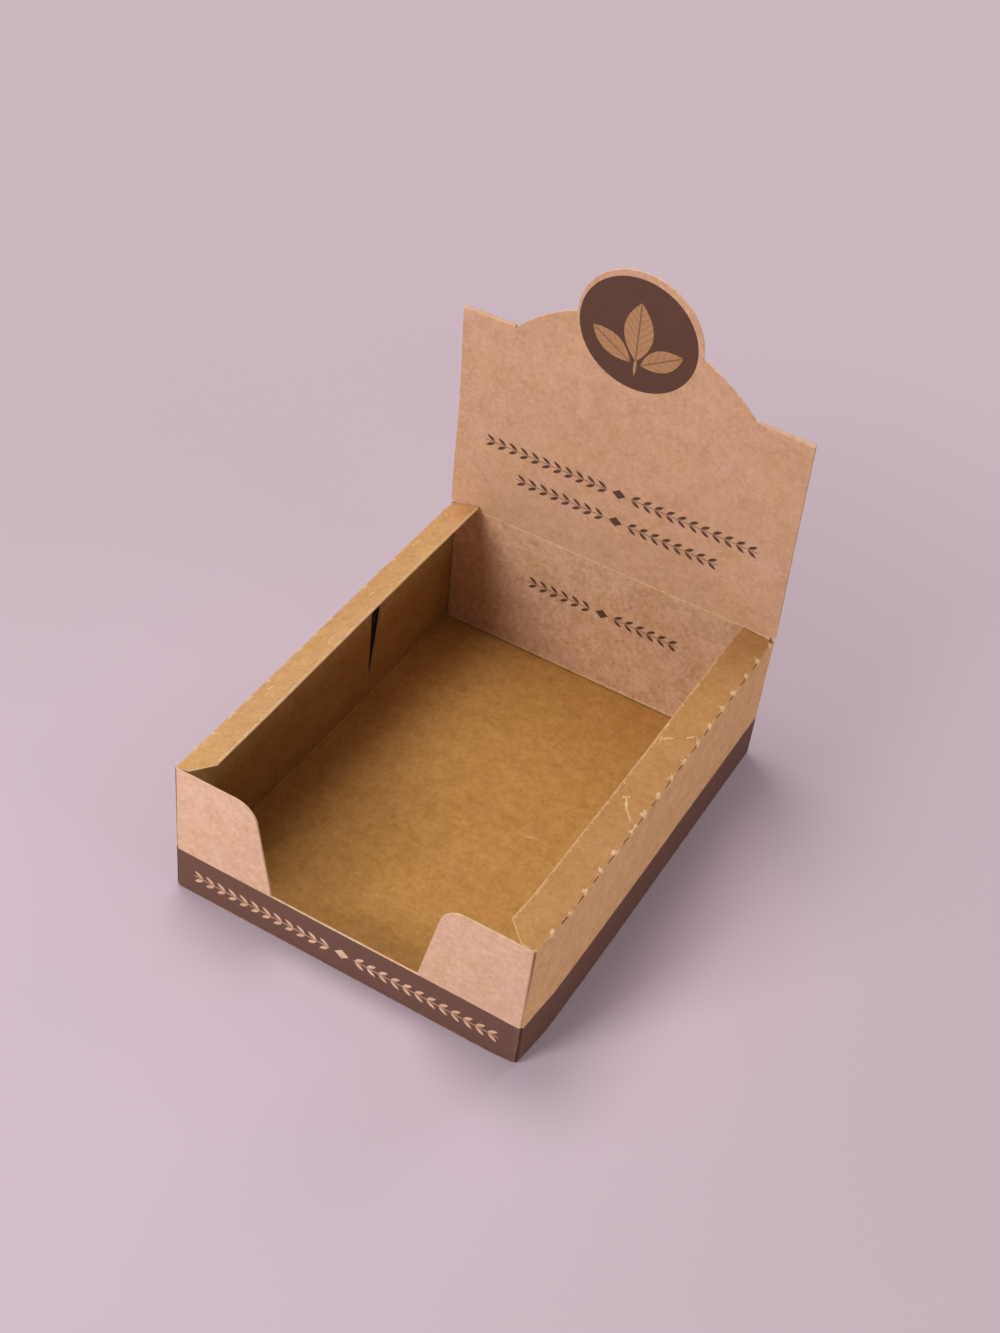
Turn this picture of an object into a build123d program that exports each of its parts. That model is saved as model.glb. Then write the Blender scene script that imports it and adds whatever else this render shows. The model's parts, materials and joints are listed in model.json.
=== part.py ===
from build123d import *
import os
from math import cos, radians, sin, sqrt, tan

# A counter display box folded from one die-cut sheet of kraft board.
# The tray stands on the ground, with the origin under the middle of its floor.
# +X is to the right, +Y to the back and +Z up, in millimetres.

# Driving dimensions of the board
board = 0.8            # thickness of the sheet
inner_bend = 0.6       # inside radius of a scored fold
lid_gap = 0.4          # air between the two layers of the folded-back lid
fit_gap = 0.2          # air beside a fold that turns, and round a tucked panel
swing_gap = 0.3        # air between the end of a swinging flap and the header

# Driving dimensions of the tray
width = 152.0          # outside, across the front
depth = 199.0          # outside, front to back
wall_height = 64.0     # ground to the top of the front tabs and of a level flap
lip_height = 21.5      # ground to the bottom of the opening in the front
opening_foot = 64.0    # width of the opening at the lip
opening_top = 80.8     # width of the opening where the tabs end, before rounding
tab_round = 9.5        # radius at the upper inner corner of a front tab
glue_flap_drop = 5.0   # wall top to the top of the glued corner flaps inside
slit_foot = 0.4        # gap between the front and rear glue flaps at the floor
slit_top = 9.5         # the same gap at their top
slit_start = 12.0      # ground to where that gap starts to widen
slit_place_share = 0.659  # place of the gap along the depth, from the front

# Driving dimensions of the two top flaps
flap_width = 14.0      # fold to free edge
flap_mitre = 6.4       # how far the front end slopes back at the free edge
mitre_start = 6.8      # fold to the place where that slope starts
left_flap_lift = 18.0  # degrees above level, where the left flap has sprung to
right_flap_lift = 8.0  # the same for the right flap

# Driving dimensions of the header, measured from its crease
crease_rise = 1.5      # wall height to the crease
shoulder_height = 101.5   # crease to the folded shoulders
shoulder_slit = 1.0    # cut that frees the arch from the shoulder fold
arch_radius = 68.9
arch_rise = 23.3       # shoulders to the top of the arch
emblem_radius = 26.6   # outline of the round field over the arch
emblem_rise = 22.0     # top of the arch to the top of the round field
header_lean = 4.5      # degrees that the header leans forward

# Sizes worked out from the driving dimensions
half_width = width / 2
half_depth = depth / 2
bend = inner_bend + board
side_half = half_depth - bend - fit_gap
mid_bend = inner_bend + board / 2
layer_offset = (lid_gap + board) / 2
bead = board + lid_gap / 2
hinge_height = wall_height - board / 2
wall_top = hinge_height - board / 2 - fit_gap
glue_top = wall_top - glue_flap_drop
panel_half = half_width - board - bend
slit_place = depth * slit_place_share - half_depth

crease_height = wall_height + crease_rise
crease_place = half_depth - board - lid_gap / 2
back_top = crease_height - bead - fit_gap

fold_line = shoulder_height - bead
arch_centre = shoulder_height + arch_rise - arch_radius
arch_half = sqrt(arch_radius ** 2 - (fold_line - arch_centre) ** 2)
emblem_centre = shoulder_height + arch_rise + emblem_rise - emblem_radius

# A raised flap passes in front of the leaning header, so its back end stops short of it
flap_reach = flap_width + board / 2 + hinge_height - crease_height
header_front = crease_place - bead / cos(radians(header_lean)) - flap_reach * tan(radians(header_lean))
flap_back = header_front - swing_gap
flap_front = -side_half

os.makedirs("parts", exist_ok=True)


# Tray: floor, four walls and the corner flaps glued inside the side walls
with BuildPart() as tray:
    # Floor and side walls, a strip folded along both sides
    with BuildSketch(Plane.XZ):
        with BuildLine():
            side_middle = half_width - board / 2
            FilletPolyline(
                (-side_middle, wall_top),
                (-side_middle, board / 2),
                (side_middle, board / 2),
                (side_middle, wall_top),
                radius=mid_bend,
            )
        trace(line_width=board)
    extrude(amount=side_half, both=True)

    # Front lip, floor and back wall, a strip folded along its front and back
    with BuildSketch(Plane.YZ):
        with BuildLine():
            end_middle = half_depth - board / 2
            FilletPolyline(
                (-end_middle, lip_height),
                (-end_middle, board / 2),
                (end_middle, board / 2),
                (end_middle, back_top),
                radius=mid_bend,
            )
        trace(line_width=board)
    extrude(amount=panel_half, both=True)

    # Front tabs on both sides of the opening
    with BuildSketch(Plane.XZ.offset(half_depth - board)):
        with BuildLine():
            Polyline(
                (opening_foot / 2, lip_height),
                (opening_top / 2, wall_height),
                (panel_half, wall_height),
                (panel_half, lip_height),
                close=True,
            )
        make_face()
        tab_corner = vertices().group_by(Axis.Y)[-1].sort_by(Axis.X)[0]
        fillet(tab_corner, radius=tab_round)
        mirror(about=Plane.YZ)
    extrude(amount=board)

    # Rounded corner folds of the front and back panels
    for fold_y, first_angle, fold_top in (
        (-half_depth + bend, 270, wall_height),
        (half_depth - bend, 0, back_top),
    ):
        with BuildSketch(Plane.XY.offset(bend)):
            with BuildLine():
                CenterArc((panel_half, fold_y), mid_bend, first_angle, 90)
            trace(line_width=board)
            mirror(about=Plane.YZ)
        extrude(amount=fold_top - bend)

    # Glue flaps, with the wedge-shaped gap between the front and the rear one
    for flap_plane in (Plane.YZ.offset(half_width - 2 * board), Plane.YZ.offset(board - half_width)):
        with BuildSketch(flap_plane):
            with BuildLine():
                Polyline(
                    (-half_depth + bend, bend),
                    (slit_place, bend),
                    (slit_place, glue_top),
                    (-half_depth + bend, glue_top),
                    close=True,
                )
            make_face()
            with BuildLine():
                Polyline(
                    (slit_place + slit_foot, bend),
                    (half_depth - bend, bend),
                    (half_depth - bend, glue_top),
                    (slit_place + slit_top, glue_top),
                    (slit_place + slit_foot, slit_start),
                    close=True,
                )
            make_face()
        extrude(amount=board)
tray.part.label = "tray"
export_step(tray.part, "parts/tray.step")


# Tuck panel: the end of the lid, pushed down into the tray in front of the back wall
with BuildPart() as tuck_panel:
    tuck_foot = board + fit_gap
    with BuildSketch(Plane.XZ.offset(layer_offset - board / 2 - crease_place)):
        with Locations((0, tuck_foot)):
            Rectangle(
                2 * (half_width - 2 * board - 2 * fit_gap),
                back_top - tuck_foot,
                align=(Align.CENTER, Align.MIN),
            )
    extrude(amount=board)
tuck_panel.part.label = "tuck_panel"
export_step(tuck_panel.part, "parts/tuck_panel.step")


# Header: the lid folded back on itself at the shoulders, standing on its crease
header_facing = (0, -cos(radians(header_lean)), -sin(radians(header_lean)))
header_plane = Plane(origin=(0, crease_place, crease_height), x_dir=(1, 0, 0), z_dir=header_facing)
section_plane = Plane(origin=header_plane.origin, x_dir=header_facing, z_dir=(-1, 0, 0))

with BuildPart() as header:
    # Front layer with the arch and the round field that were cut out of the rear layer
    with BuildSketch(header_plane.offset(layer_offset - board / 2)):
        Rectangle(width, fold_line, align=(Align.CENTER, Align.MIN))
        with BuildSketch(mode=Mode.PRIVATE) as crown:
            with Locations((0, arch_centre)):
                Circle(arch_radius)
            with Locations((0, emblem_centre)):
                Circle(emblem_radius)
            with Locations((0, fold_line)):
                Rectangle(
                    width,
                    2 * (arch_radius + emblem_radius),
                    align=(Align.CENTER, Align.MIN),
                    mode=Mode.INTERSECT,
                )
        add(crown.sketch)
    extrude(amount=board)

    # Rear layer, with the window that the arch and the round field left
    with BuildSketch(header_plane.offset(-layer_offset - board / 2)):
        Rectangle(width, fold_line, align=(Align.CENTER, Align.MIN))
        with Locations((0, 2 * fold_line - arch_centre)):
            Circle(arch_radius, mode=Mode.SUBTRACT)
        with Locations((0, 2 * fold_line - emblem_centre)):
            Circle(emblem_radius, mode=Mode.SUBTRACT)
    extrude(amount=board)

    # Shoulder folds that join the two layers beside the arch
    for shoulder_plane in (
        section_plane.offset(arch_half + shoulder_slit),
        section_plane.offset(-half_width),
    ):
        with BuildSketch(shoulder_plane):
            with BuildLine():
                CenterArc((0, fold_line), layer_offset, 0, 180)
            trace(line_width=board)
        extrude(amount=half_width - arch_half - shoulder_slit)

    # Crease along the foot, rounded about the line that the header turns on
    with BuildSketch(section_plane):
        Circle(bead)
        Rectangle(2 * bead, bead, align=(Align.CENTER, Align.MIN), mode=Mode.SUBTRACT)
    extrude(amount=half_width, both=True)
header.part.label = "header"
export_step(header.part, "parts/header.step")


# Top flaps: strips along the side walls, sprung up from their perforated folds
for flap_name, side, flap_lift in (
    ("left_flap", -1, left_flap_lift),
    ("right_flap", 1, right_flap_lift),
):
    flap_rise = sin(radians(flap_lift))
    flap_run = cos(radians(flap_lift))
    hinge_line = (side * (half_width - board / 2), 0, hinge_height)
    inward = (-side * flap_run, 0, flap_rise)
    flat_plane = Plane(origin=hinge_line, x_dir=inward, z_dir=(-flap_rise, 0, -side * flap_run))
    end_plane = Plane(origin=(hinge_line[0], flap_front, hinge_height), x_dir=inward, z_dir=(0, 1, 0))

    with BuildPart() as top_flap:
        with BuildSketch(flat_plane):
            with BuildLine():
                Polyline(
                    (0, flap_front),
                    (mitre_start, flap_front),
                    (flap_width, flap_front + flap_mitre),
                    (flap_width, flap_back),
                    (0, flap_back),
                    close=True,
                )
            make_face()
        extrude(amount=board / 2, both=True)
        # Rounded edge along the fold
        with BuildSketch(end_plane):
            Circle(board / 2)
        extrude(amount=flap_back - flap_front)
    top_flap.part.label = flap_name
    export_step(top_flap.part, "parts/" + flap_name + ".step")
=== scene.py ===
# A counter display box, folded from one die-cut sheet of kraft board and printed in one brown ink.
# Lengths are in metres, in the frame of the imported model: +X right, +Y back, +Z up.

import json
import math

import bmesh
import bpy
from mathutils import Matrix, Vector, noise


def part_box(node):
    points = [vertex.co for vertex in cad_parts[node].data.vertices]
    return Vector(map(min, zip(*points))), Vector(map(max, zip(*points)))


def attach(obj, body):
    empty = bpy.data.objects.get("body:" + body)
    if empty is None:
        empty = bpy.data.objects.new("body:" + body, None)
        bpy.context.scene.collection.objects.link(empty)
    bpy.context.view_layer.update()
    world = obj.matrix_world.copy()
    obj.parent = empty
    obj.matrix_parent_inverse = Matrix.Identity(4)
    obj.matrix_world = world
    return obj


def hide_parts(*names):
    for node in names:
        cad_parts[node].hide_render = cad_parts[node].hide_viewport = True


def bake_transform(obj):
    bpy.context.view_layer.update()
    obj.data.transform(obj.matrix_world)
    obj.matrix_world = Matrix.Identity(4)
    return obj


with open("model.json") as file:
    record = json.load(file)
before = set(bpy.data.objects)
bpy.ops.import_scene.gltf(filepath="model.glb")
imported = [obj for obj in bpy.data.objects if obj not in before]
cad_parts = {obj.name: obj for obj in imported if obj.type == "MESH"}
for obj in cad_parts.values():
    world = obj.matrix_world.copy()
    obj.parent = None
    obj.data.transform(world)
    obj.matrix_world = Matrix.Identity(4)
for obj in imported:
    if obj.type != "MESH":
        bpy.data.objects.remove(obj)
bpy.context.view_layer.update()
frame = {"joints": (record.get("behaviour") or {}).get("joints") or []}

bpy.ops.object.select_all(action="DESELECT")


# Sizes read from the frame
joints = {joint["name"]: joint for joint in frame["joints"]}
CREASE = Vector(joints["header_fold"]["pos_m"])
HINGE = Vector(joints["right_flap_fold"]["pos_m"])
_, tray_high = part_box("tray")
_, flap_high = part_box("right_flap")
tuck_low, tuck_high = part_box("tuck_panel")
HALF_WIDTH = tray_high.x
HALF_DEPTH = tray_high.y
BOARD = tuck_high.y - tuck_low.y
TUCK_HALF = tuck_high.x
WALL_HEIGHT = HINGE.z + BOARD / 2
FLAP_BACK = flap_high.y
LAYER_HALF = CREASE.y - tuck_low.y  # crease line to the outside of a header layer

# Folds of the sheet
BEND = 0.0009                 # outside radius of a scored fold
FOLD_STEPS = 5                # faces round a fold
SEAM_GAP = 0.0001             # air in the seams at the corners
PANEL_HALF = HALF_WIDTH - BOARD - BEND
SIDE_HALF = HALF_DEPTH - BEND - SEAM_GAP
GLUE_TOP = 0.058              # top of the glued corner flaps, and of the tray's own sheet
GLUE_AIR = 0.00008            # air between a glued flap and the wall
CORNER_FILL = 0.0011          # how far the floor fold runs on behind a corner
SHEET_GRID = 0.011            # largest face that a sheet is divided into

# Front opening
LIP_HEIGHT = 0.0215
OPENING_FOOT = 0.032          # half width at the lip
OPENING_TOP = 0.0404          # half width where the tabs end
TAB_ROUND_START = 0.0078      # corner to the start of a tab's rounding
TAB_STEPS = 12                # faces round that corner

# Wedge-shaped gap between the front and rear glued flaps
SLIT_PLACE = 0.0316
SLIT_FOOT = 0.0004
SLIT_TOP = 0.0095
SLIT_SHUT = 0.010             # height up to which the flaps meet
SLIT_START = 0.012            # height from which the gap widens evenly
SLIT_START_GAP = 0.0015
SLIT_CURL = 0.0007            # how far the flaps curl off the wall beside the gap
SLIT_CURL_REACH = 0.034

# Top flaps
FLAP_WIDTH = 0.014
FLAP_MITRE = 0.0072
MITRE_START = 0.0060          # fold to where the mitre starts
LEFT_LIFT = math.radians(18.0)
RIGHT_LIFT = math.radians(8.0)
FLAP_ROUND = 0.0011
FLAP_SLANT = 0.0010           # how much further back a flap ends at its fold than at its free edge
BRIDGE_PITCH = 0.01145        # spacing of the torn bridges in the perforated fold
BRIDGE_FIRST = -0.0882
SLOT_COUNT = 15
SLOT_LENGTH = 0.0042
SLOT_SHIFT = 0.0036           # a bridge to the middle of the slot in front of it
SLOT_WIDTH = 0.0005
BLADE_DEPTH = 4 * BOARD       # a slot's cut, through the fold and past it

# Header, measured up from its crease
FOLD_LINE = 0.1005
ARCH_RADIUS = 0.0689
ARCH_CENTRE = 0.0559
SHOULDER_SLIT = 0.0002
EMBLEM_RADIUS = 0.0266
EMBLEM_CENTRE = 0.1202
HEADER_LEAN = math.radians(4.5)
SCORE_HALF = 0.0009           # half the height of the scored crease
SCORE_DEPTH = 0.00022
ARCH_HALF = math.sqrt(ARCH_RADIUS ** 2 - (FOLD_LINE - ARCH_CENTRE) ** 2)
CROWN_GAP = EMBLEM_CENTRE - ARCH_CENTRE
NECK_LINE = ARCH_CENTRE + (CROWN_GAP ** 2 + ARCH_RADIUS ** 2 - EMBLEM_RADIUS ** 2) / (2 * CROWN_GAP)
ARCH_POINTS = 192             # points round the whole circle
EMBLEM_POINTS = 96
CROWN_REACH = 0.048           # fold line to just over the round field
SHOULDER_STEPS = 8            # faces round the shoulder folds
TUCK_CREEP = 0.0005           # how far the tucked end has crept up
TUCK_FOOT = tuck_low.z + TUCK_CREEP

NEAR = 0.00002                # tolerance when geometry is picked by its place
JOIN = 6 * NEAR               # tolerance when the arch and the round field are joined
RIGHT_ANGLE = math.pi / 2
SMOOTH_ANGLE = math.radians(35)


# Modelling helpers

def near(value, target):
    return abs(value - target) < NEAR


def pick(kind, test):
    """Selects the verts, edges or faces in edit mode whose corners and middle all pass a test."""
    bpy.ops.mesh.select_mode(type={"verts": "VERT", "edges": "EDGE", "faces": "FACE"}[kind])
    bpy.ops.mesh.select_all(action="DESELECT")
    shape = bmesh.from_edit_mesh(bpy.context.object.data)
    for element in getattr(shape, kind):
        corners = [element.co] if kind == "verts" else [corner.co for corner in element.verts]
        middle = sum(corners, Vector()) / len(corners)
        element.select_set(all(test(point) for point in corners + [middle]))
    shape.select_flush_mode()
    bmesh.update_edit_mesh(bpy.context.object.data)


def cut(place, facing):
    """Cuts the whole sheet along a plane."""
    bpy.ops.mesh.select_all(action="SELECT")
    bpy.ops.mesh.bisect(plane_co=place, plane_no=facing)


def extrude_edges(test, move):
    pick("edges", test)
    bpy.ops.mesh.extrude_edges_move(TRANSFORM_OT_translate={"value": move})


def move_verts(test, move):
    pick("verts", test)
    bpy.ops.transform.translate(value=move)


def round_edges(test, offset):
    pick("edges", test)
    bpy.ops.mesh.bevel(offset=offset, segments=FOLD_STEPS, affect="EDGES")


def start_sheet(name, middle, spread, turn):
    """Adds a flat sheet, turned to face outwards, and leaves it open in edit mode."""
    bpy.ops.mesh.primitive_plane_add(size=1, location=middle, rotation=turn)
    sheet = bpy.context.object
    sheet.name = name
    sheet.data.name = name
    sheet.scale = (spread[0], spread[1], 1)
    bpy.ops.object.transform_apply(location=True, rotation=True, scale=True)
    bpy.ops.object.mode_set(mode="EDIT")
    return sheet


def corner_fold(side, end, low, high):
    """Folds the end of a front or back panel round its corner, in a quarter circle."""
    def at_corner(point):
        upright = near(point.x, side * PANEL_HALF) and near(point.y, end * HALF_DEPTH)
        return upright and low - NEAR < point.z < high + NEAR

    pick("edges", at_corner)
    bpy.ops.mesh.spin(
        steps=FOLD_STEPS,
        angle=RIGHT_ANGLE,
        center=(side * PANEL_HALF, end * (HALF_DEPTH - BEND), 0),
        axis=(0, 0, side * end),
    )


def divide(low, high):
    """Cuts the sheet into a grid, so that it can bow and dent."""
    for axis in range(3):
        facing = Vector((0, 0, 0))
        facing[axis] = 1
        steps = math.ceil((high[axis] - low[axis]) / SHEET_GRID)
        for step in range(1, steps):
            place = facing * (low[axis] + (high[axis] - low[axis]) * step / steps)
            cut(place, facing)


def apply_modifier(sheet, kind, **settings):
    modifier = sheet.modifiers.new(kind.title(), kind)
    for name, value in settings.items():
        setattr(modifier, name, value)
    bpy.context.view_layer.objects.active = sheet
    bpy.ops.object.modifier_apply(modifier=modifier.name)


def thicken(sheet, face, doubled=False):
    """Gives a folded sheet its thickness: printed face outside, plain face inside, pale cut edges.

    A sheet folded back on itself is taken for inside out, so its faces are turned the other way.
    """
    bpy.ops.mesh.select_all(action="SELECT")
    bpy.ops.mesh.remove_doubles(threshold=NEAR)
    bpy.ops.mesh.normals_make_consistent(inside=doubled)
    bpy.ops.object.mode_set(mode="OBJECT")
    for finish in (face, inner_kraft, cut_edge):
        sheet.data.materials.append(finish)
    apply_modifier(
        sheet,
        "SOLIDIFY",
        thickness=BOARD,
        offset=-1,
        use_even_offset=True,
        use_quality_normals=True,
        material_offset=1,
        material_offset_rim=2,
    )


def carve(sheet, cutter):
    """Takes a cutter's shape out of a sheet, and the cutter away."""
    apply_modifier(sheet, "BOOLEAN", operation="DIFFERENCE", object=cutter, solver="EXACT")
    bpy.data.objects.remove(cutter, do_unlink=True)


# How the used sheet has relaxed from its true folds
RIGHT_BOW = 0.0014            # right side spread outwards behind its front corner
BOW_EASE = 0.8                # share of that bow that is gone again at the back
RIGHT_FLARE = 0.0005          # right wall leaning out at the top of its front half
LEFT_FLARE = 0.0015           # left wall leaning out at the top of its rear half
HEADER_BOW = 0.0009           # header hollow across its width
LEFT_TWIST = 0.28             # left flap lifted less along its front half
SHEET_RIPPLE = 0.00016
RIPPLE_SCALE = 21.0
RIPPLE_SEED = 5               # keeps the ripple the same on each run
CRUSHED_CORNER = Vector((HALF_WIDTH, -HALF_DEPTH, 0))
CRUSH_REACH = 0.007
CRUSH_DEPTH = 0.0005
CRUSH_WAY = Vector((-0.7, 0.7, 1.0))

# Where each of these starts and where it is full
SIDE_RANGE = (0.030, 0.072)          # from the middle line outwards
LID_RANGE = (0, 0.060)               # over the crease, where the lid stops following the sides
BOW_RANGE = (-0.099, -0.075)         # along the depth
BOW_EASE_RANGE = (-0.060, 0.110)     # along the depth
LEFT_FLARE_RANGE = (-0.080, 0.090)   # along the depth
RIGHT_FLARE_RANGE = (-0.090, 0.040)  # along the depth, counted forwards
HOLLOW_RANGE = (0.004, 0.100)        # over the crease
RIPPLE_RANGE = (0.001, 0.020)        # over the ground
noise.seed_set(RIPPLE_SEED)


def smooth(value, low, high):
    share = min(max((value - low) / (high - low), 0), 1)
    return share * share * (3 - 2 * share)


def relaxed(point, twist):
    """Where a point of the true folded sheet lies on the used one."""
    height = min(point.z / WALL_HEIGHT, 1)
    above = point.z - CREASE.z
    below_lid = 1 - smooth(above, *LID_RANGE)
    on_right = smooth(point.x, *SIDE_RANGE) * below_lid
    on_left = smooth(-point.x, *SIDE_RANGE) * below_lid
    eased = 1 - BOW_EASE * smooth(point.y, *BOW_EASE_RANGE)
    bow = RIGHT_BOW * on_right * smooth(point.y, *BOW_RANGE) * eased
    right_flare = RIGHT_FLARE * height ** 2 * on_right * smooth(-point.y, *RIGHT_FLARE_RANGE)
    left_flare = LEFT_FLARE * height ** 2 * on_left * smooth(point.y, *LEFT_FLARE_RANGE)
    hollow = HEADER_BOW * smooth(above, *HOLLOW_RANGE) * (1 - (point.x / HALF_WIDTH) ** 2)
    raised = max(point.z - HINGE.z, 0) * twist * min(point.y / HALF_DEPTH, 0)
    crush = CRUSH_DEPTH * smooth(1 - (point - CRUSHED_CORNER).length / CRUSH_REACH, 0, 1)
    ripple = noise.noise_vector(point * RIPPLE_SCALE) * SHEET_RIPPLE * smooth(point.z, *RIPPLE_RANGE)
    return point + Vector((bow + right_flare - left_flare, hollow, raised)) + CRUSH_WAY * crush + ripple


def settle(sheet, twist=0.0):
    """Keeps each point's place on the true sheet for the finishes, then relaxes the sheet."""
    places = sheet.data.attributes.new("board_place", "FLOAT_VECTOR", "POINT")
    for vertex, place in zip(sheet.data.vertices, places.data):
        place.vector = vertex.co
        vertex.co = relaxed(vertex.co, twist)
    bpy.ops.object.select_all(action="DESELECT")
    sheet.select_set(True)
    bpy.context.view_layer.objects.active = sheet
    bpy.ops.object.shade_smooth_by_angle(angle=SMOOTH_ANGLE)
    bpy.ops.object.select_all(action="DESELECT")


# Shader helpers

def ink(red, green, blue):
    """A colour written in the 0 to 255 values that it shows on screen."""
    linear = []
    for level in (red, green, blue):
        share = level / 255
        linear.append(share / 12.92 if share <= 0.04045 else ((share + 0.055) / 1.055) ** 2.4)
    return (*linear, 1.0)


class Value:
    """A number on a shader socket. Sums on it add Math nodes."""

    def __init__(self, nodes, socket):
        self.nodes = nodes
        self.socket = socket

    def __add__(self, other):
        return self.nodes.math("ADD", self, other)

    def __radd__(self, other):
        return self.nodes.math("ADD", other, self)

    def __sub__(self, other):
        return self.nodes.math("SUBTRACT", self, other)

    def __rsub__(self, other):
        return self.nodes.math("SUBTRACT", other, self)

    def __mul__(self, other):
        return self.nodes.math("MULTIPLY", self, other)

    def __rmul__(self, other):
        return self.nodes.math("MULTIPLY", other, self)

    def __truediv__(self, other):
        return self.nodes.math("DIVIDE", self, other)

    def __abs__(self):
        return self.nodes.math("ABSOLUTE", self)

    def fraction(self):
        return self.nodes.math("FRACT", self)

    def above(self, low, high):
        """0 below the low value and 1 over the high one, with a soft step between."""
        return self.nodes.add(
            "ShaderNodeMapRange",
            {"interpolation_type": "SMOOTHSTEP"},
            {"Value": self, "From Min": low, "From Max": high, "To Min": 0.0, "To Max": 1.0},
        )

    def below(self, low, high):
        return 1 - self.above(low, high)


class Nodes:
    """The nodes of one shader."""

    def __init__(self, tree):
        self.tree = tree
        self.tree.nodes.clear()

    def add(self, kind, settings=None, values=None, output=0):
        """Adds a node, with its settings and then its socket values or links, and gives one output."""
        node = self.tree.nodes.new(kind)
        for name, setting in (settings or {}).items():
            setattr(node, name, setting)
        for name, value in (values or {}).items():
            if isinstance(value, Value):
                self.tree.links.new(value.socket, node.inputs[name])
            else:
                node.inputs[name].default_value = value
        return Value(self, node.outputs[output]) if node.outputs else None

    def math(self, operation, *terms):
        return self.add("ShaderNodeMath", {"operation": operation}, dict(enumerate(terms)))

    def most(self, *terms):
        highest = terms[0]
        for term in terms[1:]:
            highest = self.math("MAXIMUM", highest, term)
        return highest

    def distance(self, across, along):
        """Straight distance, from its two parts at right angles."""
        return self.math("SQRT", across * across + along * along)

    def vector(self, operation, *terms, output="Vector"):
        return self.add("ShaderNodeVectorMath", {"operation": operation}, dict(enumerate(terms)), output)

    def mix(self, share, under, over, blend="MIX"):
        """Lays one colour over another, by the numbers of a Mix node's colour sockets."""
        return self.add(
            "ShaderNodeMix",
            {"data_type": "RGBA", "blend_type": blend},
            {0: share, 6: under, 7: over},
            2,
        )


class Finish(Nodes):
    """A material of the board. Its patterns lie on the sheet, so they move with every fold."""

    def __init__(self, name):
        self.material = bpy.data.materials.new(name)
        self.material.use_nodes = True
        super().__init__(self.material.node_tree)
        self.place = self.add("ShaderNodeAttribute", {"attribute_name": "board_place"}, output="Vector")
        self.x = self.add("ShaderNodeSeparateXYZ", {}, {"Vector": self.place}, "X")
        self.y = self.add("ShaderNodeSeparateXYZ", {}, {"Vector": self.place}, "Y")
        self.z = self.add("ShaderNodeSeparateXYZ", {}, {"Vector": self.place}, "Z")

    def mottle(self, scale, detail=2.0, stretch=(1, 1, 1), shift=0.0, roughness=0.5):
        """Noise from 0 to 1, at a scale in waves for each metre."""
        stretched = self.vector("MULTIPLY_ADD", self.place, stretch, (shift, shift, shift))
        return self.add(
            "ShaderNodeTexNoise",
            {},
            {"Vector": stretched, "Scale": scale, "Detail": detail, "Roughness": roughness},
            "Fac",
        )

    def gap_to(self, start, end):
        """Distance from the straight line between two places."""
        line = Vector(end) - Vector(start)
        from_start = self.vector("SUBTRACT", self.place, tuple(start))
        share = self.vector("DOT_PRODUCT", from_start, tuple(line / line.length_squared), output="Value")
        held = self.add("ShaderNodeClamp", {}, {"Value": share})
        foot = self.add(
            "ShaderNodeVectorMath",
            {"operation": "SCALE"},
            {0: tuple(line), "Scale": held},
        )
        return self.vector("DISTANCE", from_start, foot, output="Value")

    def close(self, colour, roughness, height):
        """Ends the material in a shader for dry paper."""
        bump = self.add(
            "ShaderNodeBump",
            {},
            {"Strength": BUMP_STRENGTH, "Distance": FIBRE_DEPTH, "Height": height},
        )
        shader = self.add(
            "ShaderNodeBsdfPrincipled",
            {},
            {
                "Base Color": colour,
                "Roughness": roughness,
                "Normal": bump,
                "Specular IOR Level": PAPER_SPECULAR,
            },
        )
        self.add("ShaderNodeOutputMaterial", {}, {"Surface": shader})
        return self.material


# Finishes

BUMP_STRENGTH = 0.45
PAPER_SPECULAR = 0.25
PAPER_ROUGHNESS = 0.80
ROUGHNESS_DRIFT = 0.12
FIBRE_DEPTH = 0.00012
FIBRE_SHARE = 0.6             # height of the fibres, against that of the pulp under them
MARK_RELIEF = 1.6             # height of torn fibres, against that of the grain

# Painted light and shade on the one printed face: the front is a lighter, pinker copy and the sides a
# darker, yellower copy of the lid's tone
FRONT_LIT_KRAFT = ink(222, 181, 151)
LID_KRAFT = ink(213, 168, 134)
SIDE_SHADED_KRAFT = ink(205, 159, 113)
# Painted light and shade: the left flap's top is a lighter copy and the right flap's a darker copy of
# one kraft
LEFT_LEDGE_LIT_KRAFT = ink(206, 158, 106)
RIGHT_LEDGE_SHADED_KRAFT = ink(187, 137, 84)
FLOOR_KRAFT = ink(192, 142, 77)
# Painted shade: the inside walls are a darker copy of the floor's kraft
SHADED_WALL_KRAFT = ink(160, 122, 69)
CUT_EDGE = ink(222, 184, 148)
# Painted highlight: the flaps' cut edges are paler than the other cut edges
FLAP_EDGE_HIGHLIGHT = ink(232, 196, 146)
# Painted shade: near-black on the wall's inside where it shows through the gap between the glued flaps
GAP_SHADE = ink(34, 20, 10)
# Painted shade on the cut edges in the corner seams: darker high up, paler lower down, darkest beside
# the ink band
SEAM_SHADE = ink(132, 96, 70)
SEAM_PALE = ink(192, 150, 114)
SEAM_BAND_SHADE = ink(74, 49, 40)
# Painted light: the front band's ink is a paler copy of the ink on the lid and the sides
FRONT_LIT_INK = ink(112, 79, 68)
DEEP_INK = ink(98, 67, 55)    # on the lid and the sides; the front band's paler copy of this ink is painted light
LEAF_KRAFT = ink(178, 130, 88)
DARK_FIBRE = ink(138, 94, 56)
PALE_FIBRE = ink(234, 196, 150)

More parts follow.
